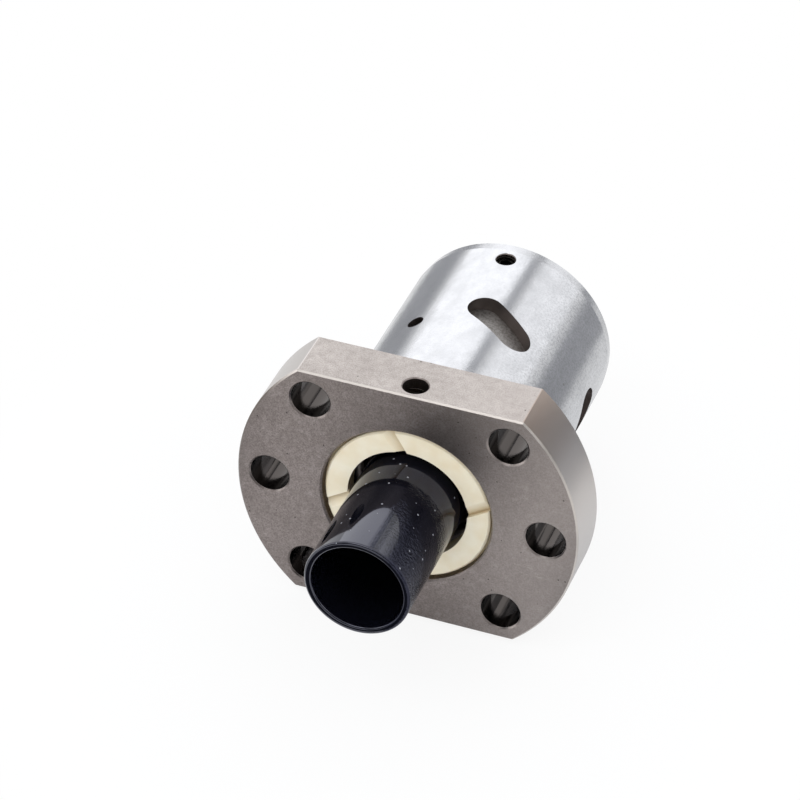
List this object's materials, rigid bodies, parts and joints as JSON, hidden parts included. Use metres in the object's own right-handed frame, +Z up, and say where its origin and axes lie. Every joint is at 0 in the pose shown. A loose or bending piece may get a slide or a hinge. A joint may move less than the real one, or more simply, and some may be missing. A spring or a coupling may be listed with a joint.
{
  "type": "flanged ball screw nut",
  "caption": "Flanged ball screw nut with a cut-flat flange, oblong return inserts in the barrel, nylon wipers and a plastic shipping sleeve.",
  "frame": {"origin": "on the screw axis, in the flange's mounting face on the barrel side", "axes": "+Y along the screw axis from the flange to the barrel's end, +Z up, square to the flange's two flats, +X to the right seen from the flange"},
  "size_m": [0.058, 0.076, 0.044],
  "materials": {
    "nut_steel": "ground barrel, satin flange",
    "wiper_nylon": "moulded nylon, satin",
    "insert_metal": "sintered, grainy",
    "ball_steel": "polished",
    "screw_steel": "blackened",
    "sleeve_plastic": "glossy black plastic"
  },
  "bodies": {
    "nut": {"nut_body": "nut_steel", "front_wiper": "wiper_nylon", "rear_wiper": "wiper_nylon", "rear_wiper_screw": "screw_steel", "deflector_1": "insert_metal", "deflector_2": "insert_metal", "deflector_3": "insert_metal", "deflector_4": "insert_metal", "ball_circuit_1": "ball_steel", "ball_circuit_2": "ball_steel", "ball_circuit_3": "ball_steel", "ball_circuit_4": "ball_steel"},
    "sleeve": {"shipping_sleeve": "sleeve_plastic"}
  },
  "joints": [
    {"name": "sleeve_slide", "type": "slide", "parent": "nut", "child": "sleeve", "axis": [0, -1, 0], "range_m": [-0.0223, 0.054]}
  ]
}
